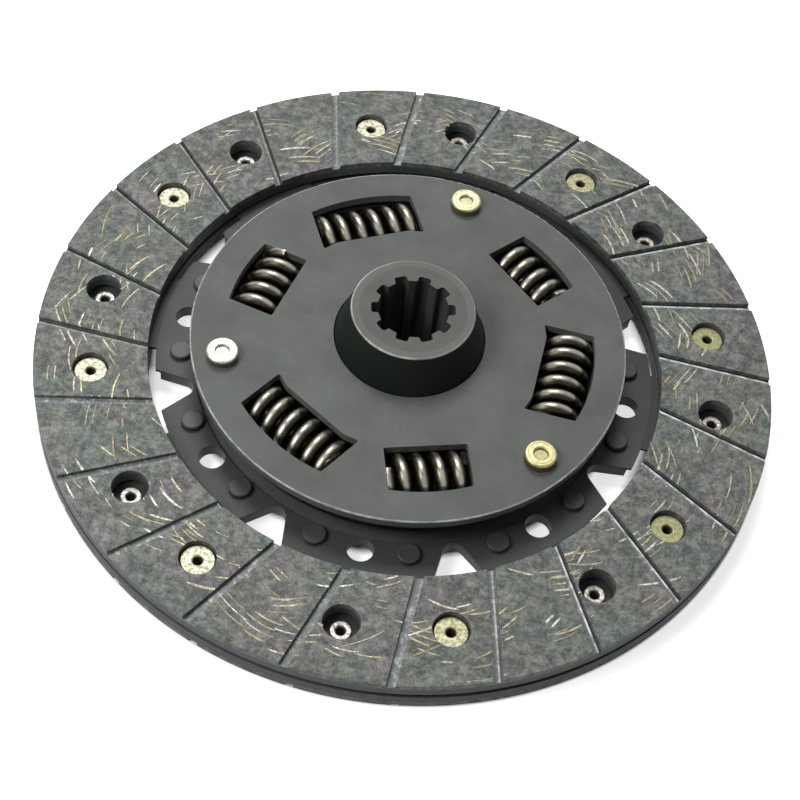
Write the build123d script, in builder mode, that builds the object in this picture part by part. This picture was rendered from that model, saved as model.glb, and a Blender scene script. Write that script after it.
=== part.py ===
from build123d import *
import os
from math import acos, cos, degrees, hypot, radians, sin, sqrt, tan

# Dry clutch disc in millimetres. The shaft runs along Z, and +Z is the side of the hub's long end.
# The origin is on the shaft axis in the rear facing's rubbing face, which is the lowest plane.
# Angles run counter-clockwise from +X, seen from +Z. The rings follow each other outward from the hub.

# Hub: one forging with its flange
hub_body_radius = 20.2
hub_nose_radius = 16.4
hub_nose_height = 11.5
hub_rear_z = 0.8
hub_edge_chamfer = 0.3
hub_clearance = 0.3
hub_flange_thickness = 5.2
flange_to_cover_rim = 3.2
spline_count = 10
spline_major_diameter = 22.3
spline_tooth_height = 1.85
spline_space_width = 3.4
spline_angle = 11.8
spline_corner_radius = 0.75
spline_lead_in = 0.2

# Friction washers and the disc spring that presses them on the flange
washer_width = 11.3
washer_pilot_clearance = 0.1
rear_washer_thickness = 1.5
disc_spring_thickness = 0.6
disc_spring_bore_clearance = 1.8

# Damper springs: three long and three short, in windows through both plates and the flange
damper_count = 3
spring_outside_diameter = 15.0
spring_wire_diameter = 3.8
spring_turn_spacing = 4.8
spring_end_turn_spacing = 3.9
spring_closing_turns = 1.5
long_spring_length = 27.0
short_spring_length = 21.8
spring_end_clearance = 0.05
washer_to_spring_gap = 3.2
spring_rise = 6.0
flange_window_clearance = 0.3
flange_window_corner_radius = 0.3
long_window_angle = -2.6
window_to_pin_angle = 35.0

# Windows of the plates: straight along the coil's inner side, with flared corners on the long ones
long_window_end_clearance = 1.1
window_inner_clearance = 0.2
window_outer_clearance = 0.1
window_corner_radius = 0.5
window_flare = 1.4
window_flare_run = 4.2
window_flare_radius = 3.0

# Stop pins between the plates, which also limit the hub's twist
spring_to_pin_step = 8.3
pin_body_diameter = 9.0
pin_shank_diameter = 6.0
pin_head_diameter = 8.5
pin_head_height = 2.6
pin_tail_height = 1.4
pin_dimple_diameter = 3.6
pin_dimple_depth = 0.8
pin_dimple_edge = 0.3
pin_edge_radius = 0.6
pin_ring_inner_diameter = 6.2
pin_ring_outer_diameter = 6.8
pin_ring_depth = 0.1
twist_limit = 4.0
stop_clearance = 0.1

# Cover plate in front of the hub flange, and carrier plate behind the segments
pin_to_cover_rim = 8.2
cover_thickness = 2.5
carrier_thickness = 3.0
plate_space = 10.2
plate_edge_radius = 0.3

# Root fixing of the cushion segments: two rivets and a centre hole on one pitch circle
cover_rim_to_roots = 2.5
root_rivet_angle = 11.5
root_hole_diameter = 7.0
root_rivet_shank_diameter = 4.0
root_rivet_head_diameter = 6.1
root_rivet_head_height = 1.4
root_rivet_tail_height = 1.1
root_rivet_edge_radius = 0.5

# Cushion segments: spring steel, riveted by their roots to the carrier plate
segment_count = 8
segment_thickness = 0.8
segment_root_step = 0.5
root_inner_margin = 3.6
roots_to_carrier_rim = 5.5
root_overhang = 1.3
neck_length = 3.0
segment_flap_half_angle = 21.6
segment_corner_radius = 4.0
segment_neck_width = 25.0
segment_neck_flat = 1.2
segment_wave_run = 8.0
segment_bend_radius = 12.0
flap_to_bore_step = 1.0
flap_to_rim_step = 1.6

# Notches between the segment roots, cut through the carrier plate as well
roots_to_notch_apex = 6.3
notch_half_angle = 28.0
notch_tip_radius = 3.0

# Friction facings: two equal rings, one turned over, held apart by the waved segments
facing_width = 30.0
facing_thickness = 4.4
facing_gap = 1.8

# Grooves: straight and skewed, open at both edges of the rubbing face
groove_count = 24
groove_width = 2.3
groove_depth = 1.2
groove_offset = 18.7
groove_start_angle = 8.6

# Facing rivets: tubular brass, one of each facing to a segment
front_rivet_angle = 18.2
facing_rivet_head_diameter = 8.6
facing_rivet_head_thickness = 0.95
facing_rivet_head_edge = 0.2
facing_rivet_shank_diameter = 4.0
facing_rivet_bore = 2.5
facing_rivet_bore_edge = 0.5
facing_rivet_tail_diameter = 5.6
facing_rivet_tail_thickness = 0.9
facing_rivet_tail_edge = 0.4
counterbore_diameter = 9.6
counterbore_depth = 2.5
clearance_hole_diameter = 9.6
rivet_fit = 0.05

# Heights that follow from the sizes above
front_facing_back_z = facing_thickness + facing_gap
rear_land_z = facing_thickness
front_land_z = front_facing_back_z - segment_thickness
carrier_top_z = facing_thickness + segment_root_step
carrier_rear_z = carrier_top_z - carrier_thickness
cover_rear_z = carrier_top_z + plate_space
cover_top_z = cover_rear_z + cover_thickness
spring_axis_z = carrier_top_z + spring_rise
flange_rear_z = spring_axis_z - hub_flange_thickness / 2
flange_front_z = spring_axis_z + hub_flange_thickness / 2
hub_nose_z = cover_top_z + hub_nose_height

# Radii that follow, ring by ring outward from the hub
spline_minor_radius = spline_major_diameter / 2 - spline_tooth_height
washer_outer_radius = hub_body_radius + washer_width
disc_spring_inner_radius = hub_body_radius + disc_spring_bore_clearance
spring_seat_radius = washer_outer_radius + washer_to_spring_gap + spring_outside_diameter / 2
pin_pitch_radius = spring_seat_radius + spring_to_pin_step
cover_radius = pin_pitch_radius + pin_to_cover_rim
hub_flange_radius = cover_radius - flange_to_cover_rim
root_pitch_radius = cover_radius + cover_rim_to_roots
notch_apex_radius = root_pitch_radius - roots_to_notch_apex
segment_root_inner_radius = root_pitch_radius - root_inner_margin
carrier_radius = root_pitch_radius + roots_to_carrier_rim
segment_root_outer_radius = carrier_radius + root_overhang
segment_flap_inner_radius = segment_root_outer_radius + neck_length
facing_bore_radius = segment_flap_inner_radius - flap_to_bore_step
facing_radius = facing_bore_radius + facing_width
facing_pitch_radius = (facing_bore_radius + facing_radius) / 2
segment_flap_outer_radius = facing_radius - flap_to_rim_step

# The coils swell through the plates' windows, so the windows follow their width at the cover's back
coil_half_width = sqrt((spring_outside_diameter / 2) ** 2 - (cover_rear_z - spring_axis_z) ** 2)
window_inner_edge = spring_seat_radius - coil_half_width - window_inner_clearance

# Angles that follow
segment_pitch = 360.0 / segment_count
damper_pitch = 360.0 / damper_count
pin_angle = long_window_angle - window_to_pin_angle
short_window_angle = pin_angle - window_to_pin_angle

ON_BASE = (Align.CENTER, Align.CENTER, Align.MIN)
UNDER_BASE = (Align.CENTER, Align.CENTER, Align.MAX)

os.makedirs("parts", exist_ok=True)


def save(part, name):
    """Label a finished piece and write it under its own name."""
    part.label = name
    export_step(part, f"parts/{name}.step")


def turned(angle):
    """Place of a copy turned about the shaft axis."""
    return Location((0, 0, 0), (0, 0, angle))


def polar(radius, angle):
    """Point on a circle round the shaft axis."""
    return (radius * cos(radians(angle)), radius * sin(radians(angle)))


def window_outline(length, spring_length, flare):
    """Spring window on +X: straight ends and inner edge, and an outer edge round the shaft axis."""
    outer_corner = hypot(spring_seat_radius + coil_half_width, spring_length / 2)
    outer_edge = outer_corner + window_outer_clearance
    with BuildSketch() as outline:
        with Locations(((window_inner_edge + outer_edge) / 2, 0)):
            Rectangle(outer_edge - window_inner_edge, length)
        Circle(outer_edge, mode=Mode.INTERSECT)
        if flare:
            for side in (-1, 1):
                Polygon(
                    (window_inner_edge, side * (length / 2 - window_flare_run)),
                    (window_inner_edge - flare, side * length / 2),
                    (window_inner_edge, side * length / 2),
                    align=None,
                )
            fillet(outline.vertices().group_by(Axis.X)[1], window_flare_radius)
        corners = outline.vertices().group_by(Axis.X)
        fillet([*corners[0], *corners[-1]], window_corner_radius)
    return outline.sketch


def flange_window_outline(length):
    """Spring pocket of the hub flange, on +X: a plain rectangle that guides the coil's sides."""
    with BuildSketch() as outline:
        with Locations((spring_seat_radius, 0)):
            RectangleRounded(
                spring_outside_diameter + 2 * flange_window_clearance,
                length,
                flange_window_corner_radius,
            )
    return outline.sketch


def notch_outline():
    """Notch between two segment roots, on +X, with a rounded inner end."""
    mouth_radius = carrier_radius + segment_root_outer_radius
    half_mouth = (mouth_radius - notch_apex_radius) * tan(radians(notch_half_angle))
    with BuildSketch() as outline:
        Polygon(
            (notch_apex_radius, 0),
            (mouth_radius, -half_mouth),
            (mouth_radius, half_mouth),
            align=None,
        )
        fillet(outline.vertices().sort_by(Axis.X)[0], notch_tip_radius)
    return outline.sketch


def window_ring(z, long_outline, short_outline):
    """All six spring windows of one plate, as a sketch at height z."""
    with BuildSketch(Plane.XY.offset(z)) as ring:
        with PolarLocations(0, damper_count, start_angle=long_window_angle):
            add(long_outline)
        with PolarLocations(0, damper_count, start_angle=short_window_angle):
            add(short_outline)
    return ring.sketch


# Facing, made with its back on the XY plane and its rubbing face up
groove_line_angle = groove_start_angle + degrees(acos(groove_offset / facing_radius)) - 90
groove_run_end = sqrt(facing_radius**2 - groove_offset**2) + groove_width
with BuildPart() as facing:
    with BuildSketch():
        Circle(facing_radius)
        Circle(facing_bore_radius, mode=Mode.SUBTRACT)
    extrude(amount=facing_thickness)
    with BuildSketch(Plane.XY.offset(facing_thickness)):
        with PolarLocations(0, groove_count, start_angle=groove_line_angle):
            with Locations((groove_run_end / 2, groove_offset)):
                Rectangle(groove_run_end, groove_width)
    extrude(amount=-groove_depth, mode=Mode.SUBTRACT)
    with BuildSketch(Plane.XY.offset(facing_thickness)):
        with PolarLocations(facing_pitch_radius, segment_count, start_angle=front_rivet_angle):
            Circle(counterbore_diameter / 2)
    extrude(amount=-counterbore_depth, mode=Mode.SUBTRACT)
    with BuildSketch():
        with PolarLocations(facing_pitch_radius, segment_count, start_angle=front_rivet_angle):
            Circle(facing_rivet_shank_diameter / 2 + rivet_fit)
        with PolarLocations(facing_pitch_radius, segment_count):
            Circle(clearance_hole_diameter / 2)
    extrude(amount=facing_thickness, mode=Mode.SUBTRACT)

# The rear facing is the same ring turned over, about a line that swaps the two rows of holes
front_seat = Location((0, 0, front_facing_back_z))
rear_seat = Plane(
    origin=(0, 0, facing_thickness),
    x_dir=(*polar(1, front_rivet_angle), 0),
    z_dir=(0, 0, -1),
).location

with BuildPart() as front_facing:
    with Locations(front_seat):
        add(facing.part)
save(front_facing.part, "front_facing")

with BuildPart() as rear_facing:
    with Locations(rear_seat):
        add(facing.part)
save(rear_facing.part, "rear_facing")

# Facing rivet, in the facing's own frame: head in the counterbore, tail rolled over behind the segment
rivet_head_seat = facing_thickness - counterbore_depth
rivet_head_top = rivet_head_seat + facing_rivet_head_thickness
rivet_tail_z = -segment_thickness - facing_rivet_tail_thickness
with BuildPart() as facing_rivet:
    with Locations((0, 0, rivet_tail_z)):
        Cylinder(facing_rivet_shank_diameter / 2, rivet_head_seat - rivet_tail_z, align=ON_BASE)
        Cylinder(facing_rivet_tail_diameter / 2, facing_rivet_tail_thickness, align=ON_BASE)
    with Locations((0, 0, rivet_head_seat)):
        Cylinder(facing_rivet_head_diameter / 2, facing_rivet_head_thickness, align=ON_BASE)
    with Locations((0, 0, rivet_tail_z)):
        Cylinder(
            facing_rivet_bore / 2,
            rivet_head_top - rivet_tail_z,
            align=ON_BASE,
            mode=Mode.SUBTRACT,
        )
    bore_mouths = facing_rivet.edges().filter_by(GeomType.CIRCLE).sort_by(SortBy.RADIUS)[:2]
    fillet(bore_mouths, facing_rivet_bore_edge)
    head_rim = facing_rivet.edges().group_by(Axis.Z)[-1].sort_by(SortBy.RADIUS)[-1]
    fillet(head_rim, facing_rivet_head_edge)
    tail_rim = facing_rivet.edges().group_by(Axis.Z)[0].sort_by(SortBy.RADIUS)[-1]
    fillet(tail_rim, facing_rivet_tail_edge)

for seat, name in ((front_seat, "front_facing_rivets"), (rear_seat, "rear_facing_rivets")):
    with BuildPart() as rivets:
        with Locations(seat):
            with PolarLocations(facing_pitch_radius, segment_count, start_angle=front_rivet_angle):
                add(facing_rivet.part)
    save(rivets.part, name)

# Cushion segment on +X: a waved flap between the facings, a joggled neck and a flat root
flap_half_width = segment_flap_outer_radius * sin(radians(segment_flap_half_angle)) + segment_thickness
neck_half_width = segment_neck_width / 2
wave_end = neck_half_width + segment_wave_run
with BuildPart() as segment:
    with BuildSketch(Plane.YZ.offset(segment_flap_inner_radius - segment_wave_run)) as wave:
        with BuildLine():
            lower = Polyline(
                (-flap_half_width, front_land_z),
                (-wave_end, front_land_z),
                (-neck_half_width, rear_land_z),
                (neck_half_width, rear_land_z),
                (wave_end, front_land_z),
                (flap_half_width, front_land_z),
            )
            upper = Polyline(
                (-flap_half_width, front_land_z + segment_thickness),
                (-wave_end, front_land_z + segment_thickness),
                (-neck_half_width, rear_land_z + segment_thickness),
                (neck_half_width, rear_land_z + segment_thickness),
                (wave_end, front_land_z + segment_thickness),
                (flap_half_width, front_land_z + segment_thickness),
            )
            Line(lower @ 0, upper @ 0)
            Line(lower @ 1, upper @ 1)
        make_face()
        bends = [v for v in wave.vertices() if abs(v.X) < flap_half_width - segment_thickness]
        fillet(bends, segment_bend_radius)
    extrude(amount=segment_flap_outer_radius)
    with BuildSketch(Plane.XY) as flap_outline:
        Circle(segment_flap_outer_radius)
        Circle(segment_flap_inner_radius, mode=Mode.SUBTRACT)
        reach = 2 * segment_flap_outer_radius
        Polygon(
            (0, 0),
            polar(reach, -segment_flap_half_angle),
            polar(reach, segment_flap_half_angle),
            align=None,
            mode=Mode.INTERSECT,
        )
        fillet(flap_outline.vertices(), segment_corner_radius)
    extrude(amount=front_facing_back_z + segment_thickness, mode=Mode.INTERSECT)

    with BuildSketch(Plane.XZ) as neck_side:
        neck_start = segment_root_outer_radius - segment_neck_flat
        neck_end = segment_flap_inner_radius + segment_neck_flat
        Polygon(
            (neck_start - segment_neck_flat, carrier_top_z),
            (neck_start, carrier_top_z),
            (neck_end, rear_land_z),
            (neck_end + segment_neck_flat, rear_land_z),
            (neck_end + segment_neck_flat, rear_land_z + segment_thickness),
            (neck_end, rear_land_z + segment_thickness),
            (neck_start, carrier_top_z + segment_thickness),
            (neck_start - segment_neck_flat, carrier_top_z + segment_thickness),
            align=None,
        )
    extrude(amount=neck_half_width, both=True)

    with BuildSketch(Plane.XY.offset(carrier_top_z)) as root_outline:
        Circle(segment_root_outer_radius)
        Circle(segment_root_inner_radius, mode=Mode.SUBTRACT)
        Polygon(
            (0, 0),
            polar(reach, -segment_pitch / 2),
            polar(reach, segment_pitch / 2),
            align=None,
            mode=Mode.INTERSECT,
        )
        for side in (-1, 1):
            with Locations(turned(side * segment_pitch / 2)):
                add(notch_outline(), mode=Mode.SUBTRACT)
    extrude(amount=segment_thickness)

    with BuildSketch(Plane.XY):
        with Locations((root_pitch_radius, 0)):
            Circle(root_hole_diameter / 2)
        with Locations(*[polar(root_pitch_radius, side * root_rivet_angle) for side in (-1, 1)]):
            Circle(root_rivet_shank_diameter / 2 + rivet_fit)
        with Locations((facing_pitch_radius, 0), polar(facing_pitch_radius, front_rivet_angle)):
            Circle(facing_rivet_shank_diameter / 2 + rivet_fit)
    extrude(amount=front_facing_back_z + segment_thickness, mode=Mode.SUBTRACT)

for index in range(segment_count):
    with BuildPart() as cushion_segment:
        with Locations(turned(index * segment_pitch)):
            add(segment.part)
    save(cushion_segment.part, f"cushion_segment_{index + 1}")

# Root rivets: low round heads in front, formed tails behind the carrier plate
root_rivet_places = [
    polar(root_pitch_radius, index * segment_pitch + side * root_rivet_angle)
    for index in range(segment_count)
    for side in (-1, 1)
]
root_top_z = carrier_top_z + segment_thickness
with BuildPart() as root_rivet:
    with Locations((0, 0, carrier_rear_z)):
        Cylinder(root_rivet_shank_diameter / 2, root_top_z - carrier_rear_z, align=ON_BASE)
        Cylinder(root_rivet_head_diameter / 2, root_rivet_tail_height, align=UNDER_BASE)
    with Locations((0, 0, root_top_z)):
        Cylinder(root_rivet_head_diameter / 2, root_rivet_head_height, align=ON_BASE)
    fillet(root_rivet.edges().group_by(Axis.Z)[-1], root_rivet_edge_radius)
    chamfer(root_rivet.edges().group_by(Axis.Z)[0], root_rivet_edge_radius)

with BuildPart() as segment_rivets:
    with Locations(*root_rivet_places):
        add(root_rivet.part)
save(segment_rivets.part, "segment_rivets")

# Carrier plate: carries the segments and is the damper's rear window plate
long_window_length = long_spring_length + 2 * long_window_end_clearance
short_window_length = short_spring_length + 2 * spring_end_clearance
plate_long_window = window_outline(long_window_length, long_spring_length, window_flare)
plate_short_window = window_outline(short_window_length, short_spring_length, 0)
with BuildPart() as carrier_plate:
    with BuildSketch(Plane.XY.offset(carrier_rear_z)):
        Circle(carrier_radius)
        Circle(hub_body_radius + hub_clearance, mode=Mode.SUBTRACT)
        with PolarLocations(0, segment_count, start_angle=segment_pitch / 2):
            add(notch_outline(), mode=Mode.SUBTRACT)
        with PolarLocations(root_pitch_radius, segment_count):
            Circle(root_hole_diameter / 2, mode=Mode.SUBTRACT)
        with Locations(*root_rivet_places):
            Circle(root_rivet_shank_diameter / 2 + rivet_fit, mode=Mode.SUBTRACT)
        with PolarLocations(pin_pitch_radius, damper_count, start_angle=pin_angle):
            Circle(pin_shank_diameter / 2 + rivet_fit, mode=Mode.SUBTRACT)
    extrude(amount=carrier_thickness)
    carrier_windows = window_ring(carrier_rear_z, plate_long_window, plate_short_window)
    extrude(carrier_windows, amount=carrier_thickness, mode=Mode.SUBTRACT)
save(carrier_plate.part, "carrier_plate")

# Cover plate: the damper's front window plate, with an eased rim
with BuildPart() as cover_plate:
    with BuildSketch(Plane.XY.offset(cover_rear_z)):
        Circle(cover_radius)
    extrude(amount=cover_thickness)
    fillet(cover_plate.edges().group_by(Axis.Z)[-1], plate_edge_radius)
    with BuildSketch(Plane.XY.offset(cover_rear_z)):
        Circle(hub_body_radius + hub_clearance)
        with PolarLocations(pin_pitch_radius, damper_count, start_angle=pin_angle):
            Circle(pin_shank_diameter / 2 + rivet_fit)
    extrude(amount=cover_thickness, mode=Mode.SUBTRACT)
    cover_windows = window_ring(cover_rear_z, plate_long_window, plate_short_window)
    extrude(cover_windows, amount=cover_thickness, mode=Mode.SUBTRACT)
save(cover_plate.part, "cover_plate")

# Stop pins: a stout body between the plates, riveted over outside both
with BuildPart() as pin:
    with Locations((0, 0, carrier_rear_z)):
        Cylinder(pin_shank_diameter / 2, cover_top_z - carrier_rear_z, align=ON_BASE)
        Cylinder(pin_head_diameter / 2, pin_tail_height, align=UNDER_BASE)
    with Locations((0, 0, carrier_top_z)):
        Cylinder(pin_body_diameter / 2, plate_space, align=ON_BASE)
    with Locations((0, 0, cover_top_z)):
        Cylinder(pin_head_diameter / 2, pin_head_height, align=ON_BASE)
    fillet(pin.edges().group_by(Axis.Z)[-1], pin_edge_radius)
    chamfer(pin.edges().group_by(Axis.Z)[0], pin_edge_radius)
    with Locations((0, 0, cover_top_z + pin_head_height)):
        Cylinder(pin_dimple_diameter / 2, pin_dimple_depth, align=UNDER_BASE, mode=Mode.SUBTRACT)
    dimple_mouth = pin.edges().group_by(Axis.Z)[-1].sort_by(SortBy.RADIUS)[0]
    chamfer(dimple_mouth, pin_dimple_edge)
    with BuildSketch(Plane.XY.offset(cover_top_z + pin_head_height)):
        Circle(pin_ring_outer_diameter / 2)
        Circle(pin_ring_inner_diameter / 2, mode=Mode.SUBTRACT)
    extrude(amount=-pin_ring_depth, mode=Mode.SUBTRACT)

for index in range(damper_count):
    with BuildPart() as stop_pin:
        with Locations(turned(pin_angle + index * damper_pitch)):
            with Locations((pin_pitch_radius, 0)):
                add(pin.part)
    save(stop_pin.part, f"stop_pin_{index + 1}")

# Hub: turned body, flange with straight spring windows and rim notches, and a splined bore
flange_long_window = flange_window_outline(long_spring_length + 2 * spring_end_clearance)
flange_short_window = flange_window_outline(short_window_length)
stop_travel = pin_pitch_radius * sin(radians(twist_limit)) + stop_clearance
stop_notch_width = pin_body_diameter + 2 * stop_travel
stop_notch_floor = pin_pitch_radius * cos(radians(twist_limit)) - pin_body_diameter / 2 - stop_clearance
with BuildPart() as hub:
    with BuildSketch(Plane.XZ):
        Polygon(
            (0, hub_rear_z),
            (hub_body_radius - hub_edge_chamfer, hub_rear_z),
            (hub_body_radius, hub_rear_z + hub_edge_chamfer),
            (hub_body_radius, cover_top_z),
            (hub_nose_radius + hub_edge_chamfer / 2, hub_nose_z - hub_edge_chamfer),
            (hub_nose_radius - hub_edge_chamfer / 2, hub_nose_z),
            (0, hub_nose_z),
            align=None,
        )
    revolve(axis=Axis.Z)
    with BuildSketch(Plane.XY.offset(flange_rear_z)) as flange:
        Circle(hub_flange_radius)
        with PolarLocations(0, damper_count, start_angle=pin_angle):
            with Locations((stop_notch_floor + hub_flange_radius / 2, 0)):
                Rectangle(hub_flange_radius, stop_notch_width, mode=Mode.SUBTRACT)
    extrude(amount=hub_flange_thickness)
    flange_windows = window_ring(flange_rear_z, flange_long_window, flange_short_window)
    extrude(flange_windows, amount=hub_flange_thickness, mode=Mode.SUBTRACT)
    with BuildSketch(Plane.XY.offset(hub_rear_z)) as spline:
        Circle(spline_minor_radius)
        with PolarLocations(0, spline_count, start_angle=spline_angle):
            with Locations((spline_major_diameter / 4, 0)):
                Rectangle(spline_major_diameter / 2, spline_space_width)
        fillet(spline.vertices(), spline_corner_radius)
    extrude(amount=hub_nose_z - hub_rear_z, mode=Mode.SUBTRACT)
    with BuildSketch(Plane.XZ):
        with BuildLine():
            Polyline(
                (0, hub_nose_z),
                (spline_minor_radius + spline_lead_in, hub_nose_z),
                (0, hub_nose_z - spline_minor_radius - spline_lead_in),
                close=True,
            )
        make_face()
    revolve(axis=Axis.Z, mode=Mode.SUBTRACT)
save(hub.part, "hub")

# Friction washers and disc spring: plain rings that pilot on the hub body
washer_inner_radius = hub_body_radius + washer_pilot_clearance
rear_washer_z = flange_rear_z - rear_washer_thickness
for name, bottom_z, thickness in (
    ("friction_washer_rear", rear_washer_z, rear_washer_thickness),
    ("friction_washer_front", flange_front_z, cover_rear_z - flange_front_z),
):
    with BuildPart() as washer:
        with BuildSketch(Plane.XY.offset(bottom_z)):
            Circle(washer_outer_radius)
            Circle(washer_inner_radius, mode=Mode.SUBTRACT)
        extrude(amount=thickness)
    save(washer.part, name)

with BuildPart() as disc_spring:
    with BuildSketch(Plane.XZ):
        Polygon(
            (disc_spring_inner_radius, rear_washer_z - disc_spring_thickness),
            (washer_outer_radius, carrier_top_z),
            (washer_outer_radius, carrier_top_z + disc_spring_thickness),
            (disc_spring_inner_radius, rear_washer_z),
            align=None,
        )
    revolve(axis=Axis.Z)
save(disc_spring.part, "disc_spring")

# Damper springs: right-hand coils wound closer at their flat ground ends, each along its own chord
coil_radius = (spring_outside_diameter - spring_wire_diameter) / 2
closing = spring_turn_spacing - spring_end_turn_spacing
points_per_turn = 16


def closed_up(turns):
    """How many turns' worth of closing an end has taken up, this many turns from its tip."""
    if turns >= spring_closing_turns:
        return spring_closing_turns / 2
    return turns - turns**2 / (2 * spring_closing_turns)


def coil_spring(length):
    """Coil along Z, centred on the origin, with its first tip on +X."""
    turns = (length + closing * spring_closing_turns) / spring_turn_spacing
    steps = round(turns * points_per_turn)
    wire_points = []
    for step in range(steps + 1):
        turn = turns * step / steps
        gathered = closed_up(turn) + spring_closing_turns / 2 - closed_up(turns - turn)
        height = spring_turn_spacing * turn - closing * gathered - length / 2
        wire_points.append((*polar(coil_radius, 360 * turn), height))
    with BuildPart() as spring:
        with BuildLine() as wire:
            Spline(*wire_points)
        with BuildSketch(Plane(origin=wire.line @ 0, z_dir=wire.line % 0)):
            Circle(spring_wire_diameter / 2)
        sweep(path=wire.line, is_frenet=True)
        Cylinder(spring_outside_diameter, length, mode=Mode.INTERSECT)
    return spring.part


for kind, length, first_angle, tip_side in (
    ("long", long_spring_length, long_window_angle, -1),
    ("short", short_spring_length, short_window_angle, 1),
):
    coil = coil_spring(length)
    for index in range(damper_count):
        angle = first_angle + index * damper_pitch
        seat = Plane(
            origin=(*polar(spring_seat_radius, angle), spring_axis_z),
            x_dir=(0, 0, tip_side),
            z_dir=(*polar(1, angle + 90), 0),
        )
        with BuildPart() as damper_spring:
            with Locations(seat.location):
                add(coil)
        save(damper_spring.part, f"{kind}_damper_spring_{index + 1}")
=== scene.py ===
from math import acos, cos, pi, radians, sin

import bpy
from mathutils import Matrix, Vector


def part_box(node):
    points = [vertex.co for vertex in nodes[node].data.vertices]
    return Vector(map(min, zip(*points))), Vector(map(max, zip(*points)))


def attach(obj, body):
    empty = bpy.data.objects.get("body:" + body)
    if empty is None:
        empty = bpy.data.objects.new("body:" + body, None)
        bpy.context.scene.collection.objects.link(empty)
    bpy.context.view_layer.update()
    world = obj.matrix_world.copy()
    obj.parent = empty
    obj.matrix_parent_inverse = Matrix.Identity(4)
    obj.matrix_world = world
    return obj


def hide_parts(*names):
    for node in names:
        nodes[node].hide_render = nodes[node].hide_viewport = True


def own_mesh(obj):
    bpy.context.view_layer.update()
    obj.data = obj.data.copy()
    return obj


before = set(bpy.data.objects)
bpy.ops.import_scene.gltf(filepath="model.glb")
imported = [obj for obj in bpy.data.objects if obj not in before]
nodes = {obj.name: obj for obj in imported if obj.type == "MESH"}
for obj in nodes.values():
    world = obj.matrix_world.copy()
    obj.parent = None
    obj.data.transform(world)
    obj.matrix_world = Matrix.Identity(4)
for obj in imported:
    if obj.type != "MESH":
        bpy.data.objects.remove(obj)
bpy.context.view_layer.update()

# Dry clutch disc in metres, in the frame of the solids: Z is the shaft axis, +Z the hub's long end
MM = 0.001

# Heights of the solids
front_face_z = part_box("front_facing")[1][2]
rear_face_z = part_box("rear_facing")[0][2]
cover_top_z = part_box("cover_plate")[1][2]
hub_top_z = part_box("hub")[1][2]
rear_rivet_tail_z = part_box("rear_facing_rivets")[1][2]

# Sizes of the solids that the finishes follow
facing_radius = 100.0 * MM
facing_inner_radius = 70.0 * MM
facing_pitch_radius = 85.0 * MM
groove_count = 24
groove_half_width = 1.15 * MM
groove_depth = 1.2 * MM
groove_offset = 18.7 * MM
groove_start_angle = 8.6
groove_line_turn = radians(groove_start_angle) + acos(groove_offset / facing_radius) - pi / 2
rear_facing_turn = radians(18.2)
counterbore_depth = 2.5 * MM
rivet_head_thickness = 0.95 * MM
cover_radius = 58.7 * MM
pin_head_height = 2.6 * MM
hub_nose_radius = 16.4 * MM
spline_radius = 11.15 * MM

# Damper coils: three long and three short
coil_count = 3
spring_seat_radius = 42.2 * MM
spring_axis_z = 10.9 * MM
coil_radius = 5.6 * MM
spring_wire_radius = 1.9 * MM
spring_turn_spacing = 4.8 * MM
spring_end_turn_spacing = 3.9 * MM
spring_closing_turns = 1.5
long_spring_length = 27.0 * MM
short_spring_length = 21.8 * MM
long_window_angle = -2.6
short_window_angle = -72.6
wire_points_per_turn = 40
spring_wire_sides = 24
ground_end_band = 0.02 * MM
sharp_bend = 0.6

# Yarn wires laid open in each facing: rows of wires side by side, which swing about the pitch radius
yarn_wire_count = 800
wires_in_row = 4.0
yarn_waves = 7.5
least_yarn_swing = 4.0 * MM
yarn_swing = 9.0 * MM
yarn_row_spacing = 1.9 * MM
innermost_row = -19.0 * MM
outermost_row = 5.0 * MM
shortest_wire = 2.2 * MM
longest_wire = 12.0 * MM
thinnest_wire = 0.17 * MM
thickest_wire = 0.46 * MM
wire_flatness = 0.05
wire_rim_margin = 0.5 * MM
front_wires_seed = 11
rear_wires_seed = 47

segment_names = [f"cushion_segment_{i + 1}" for i in range(8)]
pin_names = [f"stop_pin_{i + 1}" for i in range(3)]

# Camera: fitted to the photograph's rivets, holes and outline
image_width = 800
focal_length_px = 1688.3
camera_distance = 459.2 * MM
camera_elevation = 52.44
camera_turn = 4.3
camera_yaw = 0.01
camera_pitch = -1.68
camera_roll = -8.27
sensor_width = 36.0

# Light
floor_half_width = 3.0
floor_colour = (0.9, 0.9, 0.9, 1)
floor_glow = 0.7
surround_strength = 0.14
backdrop_strength = 1.0
rear_lamp_place = (-0.18, 0.53, 0.9)
rear_lamp_target = (0, 0, 0.01)
rear_lamp_size = 0.42
rear_lamp_power = 8.1
front_lamp_place = (-0.32, -0.2, 0.42)
front_lamp_target = (-0.03, -0.03, 0.01)
front_lamp_size = 0.26
front_lamp_power = 1.9


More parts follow.
